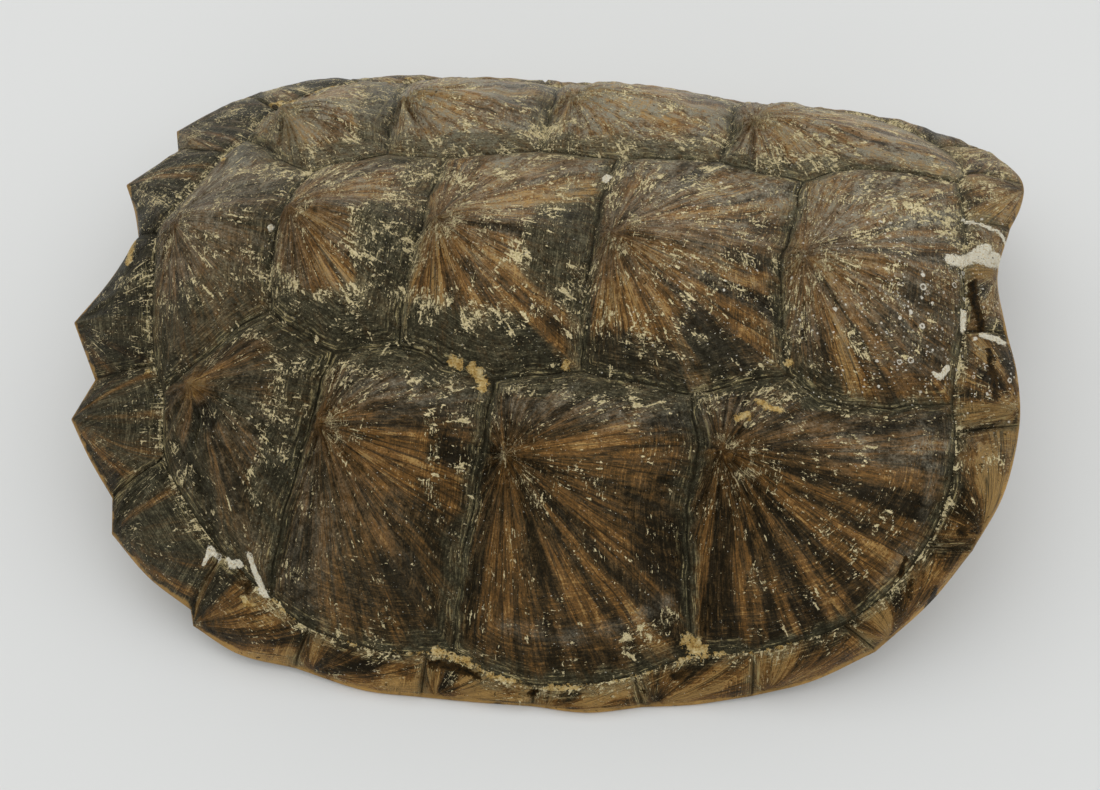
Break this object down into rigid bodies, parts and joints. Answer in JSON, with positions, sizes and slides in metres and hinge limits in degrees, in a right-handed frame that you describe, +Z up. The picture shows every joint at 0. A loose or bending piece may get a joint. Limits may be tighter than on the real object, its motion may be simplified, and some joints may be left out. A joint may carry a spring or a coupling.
{
  "type": "turtle shell",
  "caption": "Domed upper shell of a large turtle, with three keels of ridged scutes, a toothed tail rim and a raised front rim, hollow below.",
  "frame": {"origin": "centre of the shell's footprint, at the height of the surface it stands on", "axes": "+X toward the head end, +Y to the animal's left, +Z up"},
  "size_m": [0.349, 0.2922, 0.0878],
  "materials": {
    "horn": "dark brown keratin scutes with amber streaks, satin, over pale bone on the underside"
  },
  "bodies": {
    "root": {"carapace": "horn"}
  },
  "joints": []
}
